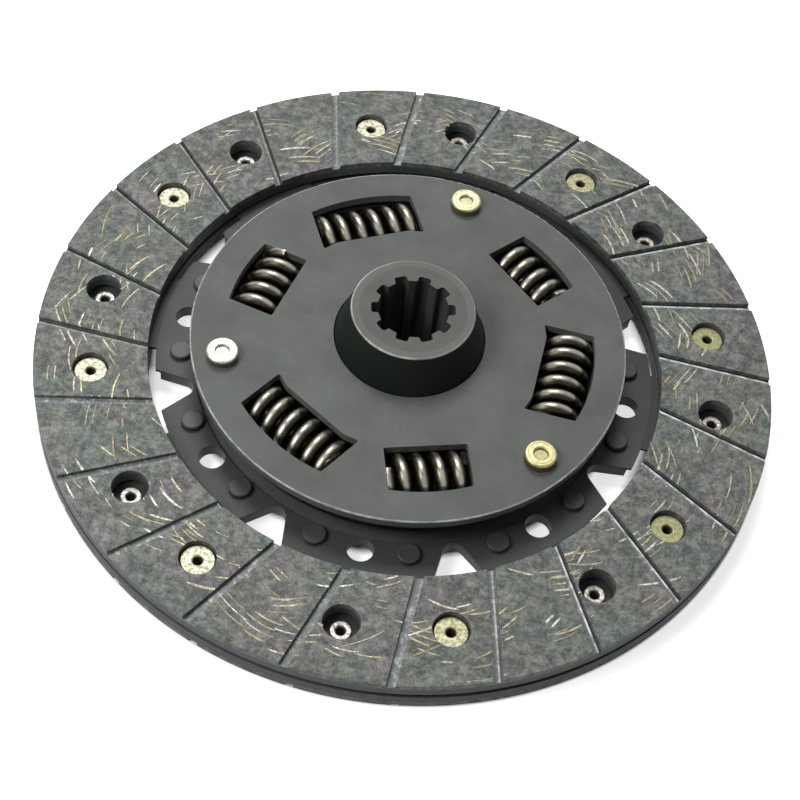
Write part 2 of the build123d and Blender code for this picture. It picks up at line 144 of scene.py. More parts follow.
def place_camera():
    """Camera at the photograph's viewpoint, aimed a little off the middle of the front face."""
    turn = Matrix.Rotation(radians(camera_turn), 3, "Z")
    away = Vector((0, -cos(radians(camera_elevation)), sin(radians(camera_elevation))))
    forward = -away
    right = Vector((1, 0, 0))
    up = right.cross(forward)
    yaw = Matrix.Rotation(radians(camera_yaw), 3, up)
    forward, right = yaw @ forward, yaw @ right
    pitch = Matrix.Rotation(radians(camera_pitch), 3, right)
    forward, up = pitch @ forward, pitch @ up
    roll = Matrix.Rotation(radians(camera_roll), 3, forward)
    right, up = roll @ right, roll @ up
    axes = [turn @ axis for axis in (right, up, -forward)]
    place = turn @ (away * camera_distance) + Vector((0, 0, front_face_z))
    data = bpy.data.cameras.new("camera")
    data.sensor_width = sensor_width
    data.lens = sensor_width * focal_length_px / image_width
    data.clip_start = 0.01
    camera = bpy.data.objects.new("camera", data)
    camera.matrix_world = Matrix.Translation(place) @ Matrix(axes).transposed().to_4x4()
    bpy.context.scene.collection.objects.link(camera)
    bpy.context.scene.camera = camera


# Node helpers, for shaders and for geometry


def put(tree, value, socket):
    """Set a socket to a value, or link another socket to it."""
    if isinstance(value, bpy.types.NodeSocket):
        tree.links.new(value, socket)
    else:
        socket.default_value = value


def node(tree, kind, *values, named=None, **settings):
    """New node with its settings, its inputs in order (None leaves one as it is) and inputs by name."""
    made = tree.nodes.new(kind)
    for key, value in settings.items():
        setattr(made, key, value)
    for socket, value in zip(made.inputs, values):
        if value is not None:
            put(tree, value, socket)
    for key, value in (named or {}).items():
        put(tree, value, made.inputs[key])
    return made


def figure(tree, operation, *values, clamp=False):
    """Result of one sum on numbers or sockets."""
    return node(tree, "ShaderNodeMath", *values, operation=operation, use_clamp=clamp).outputs[0]


def times(tree, first, *others):
    """Product of numbers or sockets."""
    for other in others:
        first = figure(tree, "MULTIPLY", first, other)
    return first


def spread(tree, value, low, high, new_low=0.0, new_high=1.0, smooth=False):
    """Value mapped from one range to another, clamped."""
    kind = "SMOOTHSTEP" if smooth else "LINEAR"
    made = node(tree, "ShaderNodeMapRange", value, low, high, new_low, new_high, interpolation_type=kind)
    return made.outputs[0]


def split(tree, place):
    """The three coordinates of a place."""
    return node(tree, "ShaderNodeSeparateXYZ", place).outputs


def join(tree, x, y, z):
    """Place with three coordinates."""
    return node(tree, "ShaderNodeCombineXYZ", x, y, z).outputs[0]


def from_axis(tree, parts):
    """Distance of a place from the shaft axis."""
    squares = [times(tree, parts[i], parts[i]) for i in (0, 1)]
    return figure(tree, "SQRT", figure(tree, "ADD", *squares))


def noise(tree, place, scale, detail, roughness):
    """Noise value at a scale in turns per metre."""
    values = {"Vector": place, "Scale": scale, "Detail": detail, "Roughness": roughness}
    return node(tree, "ShaderNodeTexNoise", named=values).outputs[0]


def ramp(tree, factor, *stops):
    """Colour ramp through (place, colour) stops."""
    made = tree.nodes.new("ShaderNodeValToRGB")
    elements = made.color_ramp.elements
    while len(elements) < len(stops):
        elements.new(0.5)
    for element, (place, colour) in zip(elements, stops):
        element.position = place
        element.color = (*colour, 1)
    tree.links.new(factor, made.inputs["Fac"])
    return made.outputs["Color"]


def blend(tree, factor, first, second, how="MIX"):
    """Mix of two colours."""
    made = node(tree, "ShaderNodeMix", data_type="RGBA", blend_type=how)
    for socket, value in ((made.inputs[0], factor), (made.inputs[6], first), (made.inputs[7], second)):
        put(tree, (*value, 1) if isinstance(value, tuple) else value, socket)
    return made.outputs[2]


def bump(tree, height, strength, distance, normal=None):
    """Normal of a fine relief, laid over another normal where one is given."""
    values = {"Height": height, "Strength": strength, "Distance": distance}
    if normal is not None:
        values["Normal"] = normal
    return node(tree, "ShaderNodeBump", named=values).outputs[0]


def shader_group(name, inputs, outputs):
    """Shader node group with named sockets: returns its tree, its given sockets and its results."""
    tree = bpy.data.node_groups.new(name, "ShaderNodeTree")
    for label, kind, value in inputs:
        socket = tree.interface.new_socket(label, in_out="INPUT", socket_type=f"NodeSocket{kind}")
        if value is not None:
            socket.default_value = value
    for label, kind in outputs:
        tree.interface.new_socket(label, in_out="OUTPUT", socket_type=f"NodeSocket{kind}")
    return tree, tree.nodes.new("NodeGroupInput").outputs, tree.nodes.new("NodeGroupOutput").inputs


def feed(tree, made, **values):
    """Set a node's inputs by name (an underscore stands for a space)."""
    for key, value in values.items():
        put(tree, value, made.inputs[key.replace("_", " ")])


def use(tree, group, **values):
    """Outputs of a shader node group that is given these inputs."""
    made = tree.nodes.new("ShaderNodeGroup")
    made.node_tree = group
    feed(tree, made, **values)
    return made.outputs


def new_material(name, metallic=0.0, specular=0.5):
    """Material with an empty tree: returns it with its tree, its Principled node and its Object place."""
    material = bpy.data.materials.new(name)
    material.use_nodes = True
    tree = material.node_tree
    tree.nodes.clear()
    output = tree.nodes.new("ShaderNodeOutputMaterial")
    surface = tree.nodes.new("ShaderNodeBsdfPrincipled")
    surface.inputs["Metallic"].default_value = metallic
    surface.inputs["Specular IOR Level"].default_value = specular
    tree.links.new(surface.outputs["BSDF"], output.inputs["Surface"])
    return material, tree, surface, tree.nodes.new("ShaderNodeTexCoord").outputs["Object"]


# Effects that more than one finish uses


def ring_place_group():
    """Radius, angle and height of a place round the shaft axis."""
    tree, given, results = shader_group(
        "ring_place",
        [("Place", "Vector", None)],
        [("Radius", "Float"), ("Angle", "Float"), ("Height", "Float")],
    )
    parts = split(tree, given["Place"])
    put(tree, from_axis(tree, parts), results["Radius"])
    put(tree, figure(tree, "ARCTAN2", parts[1], parts[0]), results["Angle"])
    put(tree, parts[2], results["Height"])
    return tree


def skewed_grooves_group(ring_place):
    """Distance across the nearest groove of a facing, from its middle line."""
    tree, given, results = shader_group(
        "skewed_grooves",
        [("Place", "Vector", None), ("Side", "Float", 1.0), ("Turn", "Float", 0.0)],
        [("Across", "Float")],
    )
    ring = use(tree, ring_place, Place=given["Place"])
    angle = figure(tree, "MULTIPLY_ADD", ring["Angle"], given["Side"], given["Turn"])
    lean = figure(tree, "ARCSINE", figure(tree, "DIVIDE", groove_offset, ring["Radius"]))
    unfolded = figure(tree, "SUBTRACT", figure(tree, "SUBTRACT", angle, lean), groove_line_turn)
    folded = figure(tree, "WRAP", unfolded, pi / groove_count, -pi / groove_count)
    radius_squared = times(tree, ring["Radius"], ring["Radius"])
    along = figure(tree, "SQRT", figure(tree, "SUBTRACT", radius_squared, groove_offset**2))
    put(tree, times(tree, folded, along), results["Across"])
    return tree


def eased_edges_group():
    """Normal that rolls over sharp edges, and a mask of the edges that handling has rubbed."""
    tree, given, results = shader_group(
        "eased_edges",
        [("Place", "Vector", None), ("Radius", "Float", 0.15 * MM), ("Scuff Scale", "Float", 500.0)],
        [("Normal", "Vector"), ("Rubbed", "Float")],
    )
    rolled = node(tree, "ShaderNodeBevel", given["Radius"], samples=4).outputs[0]
    flat = tree.nodes.new("ShaderNodeNewGeometry").outputs["True Normal"]
    agreement = node(tree, "ShaderNodeVectorMath", rolled, flat, operation="DOT_PRODUCT").outputs["Value"]
    edge = spread(tree, agreement, 0.96, 0.85)
    scuff = spread(tree, noise(tree, given["Place"], given["Scuff Scale"], 4.0, 0.7), 0.4, 0.6, 0.15, 1.0)
    put(tree, rolled, results["Normal"])
    put(tree, times(tree, edge, scuff), results["Rubbed"])
    return tree


def steel_skin_group():
    """Cloudy tone, fine grain and dark spots of a phosphated or blued steel surface."""
    tree, given, results = shader_group(
        "steel_skin",
        [("Place", "Vector", None)],
        [("Tone", "Float"), ("Grain", "Float"), ("Spots", "Float")],
    )
    cloud = noise(tree, given["Place"], 70.0, 4.0, 0.6)
    grain = noise(tree, given["Place"], 2400.0, 3.0, 0.7)
    spots = spread(tree, noise(tree, given["Place"], 520.0, 4.0, 0.75), 0.6, 0.72)
    cloudy = spread(tree, cloud, 0.3, 0.7, -0.16, 0.16)
    grainy = spread(tree, grain, 0.3, 0.7, 0.9, 1.1)
    put(tree, figure(tree, "ADD", cloudy, grainy), results["Tone"])
    put(tree, grain, results["Grain"])
    put(tree, spots, results["Spots"])
    return tree


def wound_yarn_group(ring_place):
    """Faint streaks of the yarn that a facing is wound from, crossing in two directions."""
    tree, given, results = shader_group(
        "wound_yarn",
        [("Place", "Vector", None), ("Waves", "Float", 5.0), ("Swing", "Float", 13.5 * MM)],
        [("Streaks", "Float"), ("Crossed", "Float")],
    )
    streaks_across = 9.0
    streaks_around = 3.5
    steepest = 0.98
    ring = use(tree, ring_place, Place=given["Place"])
    from_pitch = figure(tree, "SUBTRACT", ring["Radius"], facing_pitch_radius)
    rise = figure(tree, "DIVIDE", from_pitch, given["Swing"])
    rise = figure(tree, "ARCSINE", spread(tree, rise, -steepest, steepest, -steepest, steepest))
    turned = times(tree, ring["Angle"], given["Waves"])
    around = [times(tree, figure(tree, way, ring["Angle"]), streaks_around) for way in ("COSINE", "SINE")]
    for way, name in (("SUBTRACT", "Streaks"), ("ADD", "Crossed")):
        phase = figure(tree, way, turned, rise)
        across = [times(tree, figure(tree, turn, phase), streaks_across) for turn in ("COSINE", "SINE")]
        where = join(tree, *across, around[0])
        values = {"Vector": where, "W": around[1], "Scale": 1.0, "Detail": 2.5, "Roughness": 0.6}
        streak = node(tree, "ShaderNodeTexNoise", named=values, noise_dimensions="4D").outputs[0]
        put(tree, streak, results[name])
    return tree


# Finishes


def groove_floor_skin(tree, place, across, skin):
    """Colour of the groove floors: pale with bright flecks, some of them with a painted shadow along the
    far wall and a painted highlight beside it.
    """
    flecks = spread(tree, noise(tree, place, 420.0, 5.0, 0.75), 0.52, 0.68)
    floor = blend(tree, 0.5, skin, (0.21, 0.235, 0.24))
    floor = blend(tree, flecks, floor, (0.58, 0.61, 0.61))
    # The floors at the left, apart from the lower left, keep the colour of the pads
    parts = split(tree, place)
    to_left = spread(tree, parts[0], -30.0 * MM, -50.0 * MM)
    left_side = times(tree, to_left, spread(tree, parts[1], -30.0 * MM, -8.0 * MM))
    right_side = spread(tree, parts[0], 20.0 * MM, 50.0 * MM)
    painted_side = figure(tree, "MAXIMUM", right_side, left_side)
    floor = blend(tree, times(tree, left_side, 0.85), floor, skin)
    # On some sides a painted shadow lies along the far wall of a groove, with a painted highlight, the
    # streak, beside it
    to_far_wall = times(tree, across, figure(tree, "SIGN", parts[0]))
    shadow_start = spread(tree, left_side, 0.0, 1.0, 0.5 * MM, 0.35 * MM)
    shadow_end = spread(tree, left_side, 0.0, 1.0, 0.62 * MM, 0.47 * MM)
    far_wall_shadow = times(tree, spread(tree, to_far_wall, shadow_start, shadow_end), painted_side)
    floor = blend(tree, far_wall_shadow, floor, (0.02, 0.022, 0.022))
    # The streak is a painted highlight beside the painted shadow
    highlight_place = 0.3 * MM
    from_highlight = figure(tree, "ABSOLUTE", figure(tree, "SUBTRACT", to_far_wall, highlight_place))
    streak = times(tree, spread(tree, from_highlight, 0.3 * MM, 0.18 * MM), painted_side)
    streak = times(tree, streak, spread(tree, noise(tree, place, 300.0, 3.0, 0.6), 0.38, 0.6, 0.15, 1.0))
    streak = times(tree, streak, spread(tree, left_side, 0.0, 1.0, 1.0, 0.3))
    return blend(tree, streak, floor, (0.75, 0.78, 0.77))


def friction_compound(name, groups, face_z, side, turn):
    """Moulded friction facing: mottled grey compound over wound yarn, with scraped groove floors that carry
    painted shade and highlight on some sides.
    """
    material, tree, surface, place = new_material(name, specular=0.17)
    ring = use(tree, groups["ring_place"], Place=place)
    across = use(tree, groups["skewed_grooves"], Place=place, Side=float(side), Turn=turn)["Across"]
    yarn = use(tree, groups["wound_yarn"], Place=place)
    eased = use(tree, groups["eased_edges"], Place=place, Radius=0.28 * MM, Scuff_Scale=800.0)
    mottle = noise(tree, place, 430.0, 6.0, 0.75)
    cloud = noise(tree, place, 75.0, 3.0, 0.5)
    fibre = noise(tree, place, 2300.0, 3.0, 0.7)

    pits, compound, pale = (0.046, 0.05, 0.047), (0.118, 0.123, 0.117), (0.25, 0.25, 0.23)
    base = ramp(tree, mottle, (0.36, pits), (0.5, compound), (0.64, pale))
    greenish, plain, reddish = (0.86, 1.02, 0.98), (1.0, 1.02, 0.98), (1.06, 0.98, 1.05)
    tint = ramp(tree, cloud, (0.36, greenish), (0.5, plain), (0.62, reddish))
    skin = blend(tree, 1.0, base, tint, "MULTIPLY")
    light_yarn = figure(
        tree,
        "MAXIMUM",
        spread(tree, yarn["Streaks"], 0.54, 0.74),
        spread(tree, yarn["Crossed"], 0.56, 0.76),
    )
    dark_yarn = figure(
        tree,
        "MAXIMUM",
        spread(tree, yarn["Streaks"], 0.42, 0.28),
        spread(tree, yarn["Crossed"], 0.42, 0.28),
    )
    skin = blend(tree, times(tree, light_yarn, 0.42), skin, (0.27, 0.255, 0.205))
    skin = blend(tree, times(tree, dark_yarn, 0.45), skin, (0.05, 0.056, 0.054))
    skin = blend(tree, spread(tree, fibre, 0.5, 0.7, 0.0, 0.45), skin, (0.3, 0.3, 0.28))

    depth = times(tree, figure(tree, "SUBTRACT", face_z, ring["Height"]), float(side))
    from_middle = figure(tree, "ABSOLUTE", across)
    in_groove = spread(tree, from_middle, groove_half_width * 1.02, groove_half_width * 0.98)
    at_floor = times(
        tree,
        spread(tree, depth, groove_depth - 0.3 * MM, groove_depth - 0.1 * MM),
        spread(tree, depth, groove_depth + 0.2 * MM, groove_depth + 0.1 * MM),
    )
    floor = times(tree, in_groove, at_floor)
    skin = blend(tree, floor, skin, groove_floor_skin(tree, place, across, skin))
    below_grooves = spread(tree, depth, groove_depth + 0.4 * MM, groove_depth + 1.0 * MM)
    skin = blend(tree, below_grooves, skin, (0.085, 0.09, 0.092))
    skin = blend(tree, times(tree, eased["Rubbed"], 0.55), skin, (0.42, 0.44, 0.43))

    rough = spread(tree, mottle, 0.3, 0.7, 0.55, 0.78)
    rough = figure(tree, "SUBTRACT", rough, times(tree, floor, 0.12))
    yarn_relief = times(tree, figure(tree, "SUBTRACT", light_yarn, dark_yarn), 0.8)
    relief = bump(tree, figure(tree, "ADD", fibre, yarn_relief), 0.5, 0.1 * MM, eased["Normal"])
    feed(tree, surface, Base_Color=skin, Roughness=rough, Normal=relief)
    return material


def dark_steel(name, groups, tone, roughness, rubbed_share=0.4, specular=0.18):
    """Dark steel, phosphated or blued, with edges rubbed lighter: its material, parts and colour."""
    material, tree, surface, place = new_material(name, specular=specular)
    skin = use(tree, groups["steel_skin"], Place=place)
    eased = use(tree, groups["eased_edges"], Place=place)
    grey = node(tree, "ShaderNodeCombineColor", skin["Tone"], skin["Tone"], skin["Tone"]).outputs[0]
    base = blend(tree, 1.0, grey, tone, "MULTIPLY")
    base = blend(tree, times(tree, skin["Spots"], 0.35), base, tuple(0.45 * c for c in tone))
    base = blend(tree, times(tree, eased["Rubbed"], rubbed_share), base, (0.34, 0.36, 0.34))
    rough = spread(tree, skin["Grain"], 0.3, 0.7, roughness - 0.06, roughness + 0.08)
    relief = bump(tree, skin["Grain"], 0.25, 0.05 * MM, eased["Normal"])
    feed(tree, surface, Base_Color=base, Roughness=rough, Normal=relief)
    return material, tree, surface, place, base


def cover_finish(groups):
    """Phosphated cover plate, with a patchy painted highlight along the top corner of its rim."""
    material, tree, surface, place, base = dark_steel(
        "phosphated_cover", groups, (0.112, 0.12, 0.112), 0.56, specular=0.08
    )
    ring = use(tree, groups["ring_place"], Place=place)
    # Painted highlight along the top corner of the rim, broken up by noise
    rim_glint = spread(tree, ring["Radius"], cover_radius - 0.5 * MM, cover_radius - 0.25 * MM)
    top = spread(tree, ring["Height"], cover_top_z - 0.45 * MM, cover_top_z - 0.3 * MM)
    sheen_patches = spread(tree, noise(tree, place, 260.0, 4.0, 0.7), 0.35, 0.6, 0.3, 1.0)
    feed(tree, surface, Base_Color=blend(tree, times(tree, rim_glint, top, sheen_patches), base, (0.42, 0.45, 0.45)))
    return material


def hub_finish(groups):
    """Forged hub: dark skin, with a turned end face, a painted highlight along its rim, patchy like
    rubbing, and a greyer spline.
    """
    material, tree, surface, place, base = dark_steel(
        "phosphated_hub", groups, (0.012, 0.0155, 0.012), 0.5, specular=0.06
    )
    ring = use(tree, groups["ring_place"], Place=place)
    end_face = spread(tree, ring["Height"], hub_top_z - 0.12 * MM, hub_top_z - 0.04 * MM)
    lathe_marks = noise(tree, join(tree, ring["Radius"], 0.0, 0.0), 5200.0, 2.0, 0.7)
    rubbed = spread(tree, noise(tree, place, 160.0, 3.0, 0.6), 0.35, 0.65)
    low, middle, high = (0.07, 0.073, 0.068), (0.108, 0.111, 0.103), (0.18, 0.18, 0.166)
    turned = ramp(tree, lathe_marks, (0.3, low), (0.55, middle), (0.8, high))
    turned = blend(tree, times(tree, rubbed, 0.25), turned, (0.17, 0.17, 0.155))
    outer_ring = spread(tree, ring["Radius"], hub_nose_radius - 2.2 * MM, hub_nose_radius - 2.0 * MM)
    turned = blend(tree, times(tree, outer_ring, 0.3), turned, (0.19, 0.195, 0.182))
    skin = blend(tree, end_face, base, turned)
    # Painted highlight along the rim of the end face, broken up by the rubbing noise
    rim_glint = times(
        tree,
        spread(tree, ring["Radius"], hub_nose_radius - 0.3 * MM, hub_nose_radius - 0.1 * MM),
        spread(tree, ring["Height"], hub_top_z - 0.5 * MM, hub_top_z - 0.35 * MM),
        spread(tree, rubbed, 0.0, 1.0, 0.45, 1.0),
    )
    skin = blend(tree, rim_glint, skin, (0.5, 0.51, 0.48))
    inside = times(
        tree,
        spread(tree, ring["Radius"], spline_radius + 0.65 * MM, spline_radius + 0.25 * MM),
        spread(tree, ring["Height"], hub_top_z - 0.3 * MM, hub_top_z - 0.6 * MM),
    )
    feed(tree, surface, Base_Color=blend(tree, inside, skin, (0.06, 0.068, 0.06)))
    return material


def oiled_coil_steel(groups):
    """Dark spring wire: its crests carry a painted sheen and a film of oil, and its ends are ground bright.
    """
    material, tree, surface, place = new_material("oiled_coil_steel", 0.95)
    skin = use(tree, groups["steel_skin"], Place=place)
    scale = noise(tree, place, 380.0, 4.0, 0.65)
    dark, brown, worn = (0.018, 0.0155, 0.011), (0.036, 0.031, 0.021), (0.07, 0.062, 0.042)
    base = ramp(tree, scale, (0.3, dark), (0.55, brown), (0.8, worn))
    lean = node(tree, "ShaderNodeAttribute", attribute_name="lean").outputs["Fac"]
    # Painted sheen along the crests of the wire, in patches; the oil coat lies on the crests too
    crest = spread(tree, lean, 0.08, 0.54, 1.0, 0.0, smooth=True)
    sheen_patches = times(tree, crest, spread(tree, scale, 0.35, 0.6, 0.55, 1.0))
    base = blend(tree, sheen_patches, base, (0.28, 0.258, 0.2))
    base = blend(tree, times(tree, skin["Spots"], 0.45), base, (0.03, 0.026, 0.02))
    ground = node(tree, "ShaderNodeAttribute", attribute_name="ground").outputs["Fac"]
    base = blend(tree, times(tree, ground, 0.9), base, (0.85, 0.83, 0.74))
    rough = spread(tree, scale, 0.3, 0.7, 0.27, 0.38)
    relief = bump(tree, skin["Grain"], 0.2, 0.03 * MM)
    feed(tree, surface, Base_Color=base, Roughness=rough, Normal=relief)
    feed(tree, surface, Coat_Weight=crest, Coat_Roughness=0.22, Coat_IOR=1.8)
    return material


def yellow_zinc(groups):
    """Yellow passivated zinc plating, cloudy, paler towards the left as painted light, and with painted
    shade on the heads' sides.
    """
    material, tree, surface, place = new_material("yellow_zinc", 0.7)
    eased = use(tree, groups["eased_edges"], Place=place)
    parts = split(tree, place)
    fine = noise(tree, place, 1100.0, 4.0, 0.7)
    # Paler towards the left, the lit side: painted light
    sideways = spread(tree, parts[0], -40.0 * MM, 35.0 * MM)
    pale, yellow, deep = (0.54, 0.53, 0.43), (0.46, 0.43, 0.26), (0.35, 0.32, 0.16)
    base = ramp(tree, sideways, (0.0, pale), (0.6, yellow), (1.0, deep))
    base = blend(tree, spread(tree, fine, 0.46, 0.66, 0.0, 0.75), base, (0.24, 0.21, 0.1))
    base = blend(tree, times(tree, eased["Rubbed"], 0.5), base, (0.8, 0.78, 0.66))
    head_top_z = cover_top_z + pin_head_height
    # Painted shade on the sides of the heads and below them
    head_side_shade = spread(tree, parts[2], head_top_z - 0.45 * MM, head_top_z - 1.0 * MM)
    base = blend(tree, times(tree, head_side_shade, 0.75), base, (0.1, 0.085, 0.045))
    rough = spread(tree, fine, 0.3, 0.7, 0.3, 0.45)
    feed(tree, surface, Base_Color=base, Roughness=rough, Normal=eased["Normal"])
    return material


def rivet_brass(name, groups, end_z, pale, deep):
    """Brass of the tubular facing rivets, paler towards the left as painted light, scuffed at the end that
    shows and darker away from it.
    """
    material, tree, surface, place = new_material(name, 0.65)
    ring = use(tree, groups["ring_place"], Place=place)
    eased = use(tree, groups["eased_edges"], Place=place, Radius=0.1 * MM)
    scuff = noise(tree, place, 1000.0, 4.0, 0.75)
    # Paler towards the left, the lit side: painted light
    sideways = spread(tree, split(tree, place)[0], -30.0 * MM, 60.0 * MM)
    base = blend(tree, sideways, pale, deep)
    base = blend(tree, spread(tree, scuff, 0.44, 0.6, 0.0, 0.85), base, (0.16, 0.145, 0.08))
    base = blend(tree, times(tree, eased["Rubbed"], 0.4), base, (0.75, 0.73, 0.62))
    # Darker away from the end that shows
    from_end = figure(tree, "ABSOLUTE", figure(tree, "SUBTRACT", ring["Height"], end_z))
    base = blend(tree, spread(tree, from_end, 0.7 * MM, 1.1 * MM), base, (0.12, 0.1, 0.06))
    rough = spread(tree, scuff, 0.3, 0.7, 0.38, 0.6)
    relief = bump(tree, scuff, 0.3, 0.04 * MM, eased["Normal"])
    feed(tree, surface, Base_Color=base, Roughness=rough, Normal=relief)
    return material


def washer_compound():
    """Brown moulded friction washer with a fibrous face."""
    material, tree, surface, place = new_material("washer_compound", specular=0.2)
    fibre = noise(tree, place, 900.0, 4.0, 0.7)
    dark, brown, pale = (0.05, 0.04, 0.03), (0.1, 0.085, 0.065), (0.19, 0.16, 0.12)
    base = ramp(tree, fibre, (0.3, dark), (0.55, brown), (0.8, pale))
    rough = spread(tree, fibre, 0.3, 0.7, 0.65, 0.85)
    feed(tree, surface, Base_Color=base, Roughness=rough, Normal=bump(tree, fibre, 0.4, 0.1 * MM))
    return material


def yarn_wire_metal():
    """Brass and bright metal wires of the yarn, laid open where the facing was ground."""
    material, tree, surface, place = new_material("yarn_wire_metal", 0.35)
    tone = node(tree, "ShaderNodeAttribute", attribute_name="tone").outputs["Fac"]
    colour = ramp(
        tree,
        tone,
        (0.0, (0.15, 0.135, 0.075)),
        (0.3, (0.25, 0.225, 0.125)),
        (0.6, (0.34, 0.315, 0.2)),
        (0.8, (0.42, 0.405, 0.32)),
        (1.0, (0.54, 0.53, 0.48)),
    )
    smear = spread(tree, noise(tree, place, 900.0, 4.0, 0.7), 0.4, 0.6)
    base = blend(tree, times(tree, smear, 0.75), colour, (0.15, 0.14, 0.105))
    feed(tree, surface, Base_Color=base, Roughness=spread(tree, smear, 0.0, 1.0, 0.4, 0.6))
    return material


def dress(name, material):
    """Give a solid its material in every slot."""
    slots = nodes[name].material_slots
    if not slots:
        nodes[name].data.materials.append(material)
    for each in slots:
        each.material = material


def dress_facings(groups):
    """Finishes of the two facings and of their rivets."""
    dress("front_facing", friction_compound("front_compound", groups, front_face_z, 1, 0.0))
    dress("rear_facing", friction_compound("rear_compound", groups, rear_face_z, -1, rear_facing_turn))
    head_z = front_face_z - counterbore_depth + rivet_head_thickness
    pale_head, deep_head = (0.43, 0.42, 0.31), (0.25, 0.25, 0.12)
    heads = rivet_brass("front_rivet_brass", groups, head_z, pale_head, deep_head)
    dress("front_facing_rivets", heads)
    pale_tail, deep_tail = (0.58, 0.55, 0.54), (0.5, 0.48, 0.44)
    tails = rivet_brass("rear_rivet_brass", groups, rear_rivet_tail_z, pale_tail, deep_tail)
    dress("rear_facing_rivets", tails)


def dress_middle(groups):
    """Finishes of the plates, the hub and the small pieces."""
    dress("cover_plate", cover_finish(groups))
    dress("hub", hub_finish(groups))
    dress("carrier_plate", dark_steel("phosphated_carrier", groups, (0.085, 0.09, 0.085), 0.45)[0])
    rivet_steel = dark_steel("dark_rivet", groups, (0.055, 0.06, 0.057), 0.4, rubbed_share=0.3)[0]
    dress("segment_rivets", rivet_steel)
    dress("disc_spring", dark_steel("blued_disc_spring", groups, (0.06, 0.065, 0.075), 0.35)[0])
    segment_steel = dark_steel("blued_segment", groups, (0.052, 0.057, 0.055), 0.5)[0]
    washer = washer_compound()
    zinc = yellow_zinc(groups)
    for name in segment_names:
        dress(name, segment_steel)
    for name in ("friction_washer_front", "friction_washer_rear"):
        dress(name, washer)
    for name in pin_names:
        dress(name, zinc)


# Pieces made by geometry trees


def geometry_tree(name, **inputs):
    """Geometry node tree with inputs listed by kind: returns it, its given sockets and its result."""
    tree = bpy.data.node_groups.new(name, "GeometryNodeTree")
    tree.interface.new_socket("Geometry", in_out="INPUT", socket_type="NodeSocketGeometry")
    for kind, labels in inputs.items():
        for label in labels:
            tree.interface.new_socket(label, in_out="INPUT", socket_type=f"NodeSocket{kind}")
    tree.interface.new_socket("Geometry", in_out="OUTPUT", socket_type="NodeSocketGeometry")
    return tree, tree.nodes.new("NodeGroupInput").outputs, tree.nodes.new("NodeGroupOutput").inputs[0]


def live(sockets, name):
    """The socket of this name that the node's settings switch on."""
    return next(socket for socket in sockets if socket.name == name and socket.enabled)


def remember(tree, shape, name, value):
    """Shape with a number kept on its points under a name."""
    kept = {"Geometry": shape, "Name": name}
    made = node(tree, "GeometryNodeStoreNamedAttribute", named=kept, data_type="FLOAT", domain="POINT")
    put(tree, value, live(made.inputs, "Value"))
    return made.outputs[0]


def recall(tree, name):
    """Number kept on the points under a name."""
    made = node(tree, "GeometryNodeInputNamedAttribute", named={"Name": name}, data_type="FLOAT")
    return live(made.outputs, "Attribute")


def move(tree, shape, place):
    """Shape with its points at other places."""
    return node(tree, "GeometryNodeSetPosition", named={"Geometry": shape, "Position": place}).outputs[0]


def own_place(tree):
    """The three coordinates of each point."""
    return split(tree, tree.nodes.new("GeometryNodeInputPosition").outputs[0])


def straight_wire(tree, count):
    """Curve with a number of points, which a Set Position then bends."""
    line = node(tree, "GeometryNodeMeshLine", named={"Count": count}).outputs[0]
    return node(tree, "GeometryNodeMeshToCurve", line).outputs[0]


def round_wire(tree, path, sides, radius, **values):
    """Round wire with closed ends along a curve."""
    ring = {"Resolution": sides, "Radius": radius}
    ring = node(tree, "GeometryNodeCurvePrimitiveCircle", named=ring).outputs[0]
    values.update({"Curve": path, "Profile Curve": ring, "Fill Caps": True})
    return node(tree, "GeometryNodeCurveToMesh", named=values).outputs[0]


def smoothed(tree, body):
    """Body shaded smooth."""
    values = {"Geometry": body, "Shade Smooth": True}
    return node(tree, "GeometryNodeSetShadeSmooth", named=values).outputs[0]


def finish_tree(tree, shape, finish, result):
    """End of a tree: real geometry with its finish."""
    real = node(tree, "GeometryNodeRealizeInstances", shape).outputs[0]
    values = {"Geometry": real, "Material": finish}
    put(tree, node(tree, "GeometryNodeSetMaterial", named=values).outputs[0], result)


def grow(name, tree, values):
    """Plain mesh piece that a geometry tree gives for these values."""
    seed_mesh = bpy.data.meshes.new(f"{name}_seed")
    seed = bpy.data.objects.new(f"{name}_seed", seed_mesh)
    bpy.context.scene.collection.objects.link(seed)
    modifier = seed.modifiers.new("shape", "NODES")
    modifier.node_group = tree
    for item in tree.interface.items_tree:
        if item.item_type == "SOCKET" and item.in_out == "INPUT" and item.name in values:
            modifier[item.identifier] = values[item.name]
    seed.update_tag()
    grown = seed.evaluated_get(bpy.context.evaluated_depsgraph_get())
    mesh = bpy.data.meshes.new_from_object(grown)
    mesh.name = name
    bpy.data.objects.remove(seed)
    bpy.data.meshes.remove(seed_mesh)
    piece = bpy.data.objects.new(name, mesh)
    bpy.context.scene.collection.objects.link(piece)
    return piece


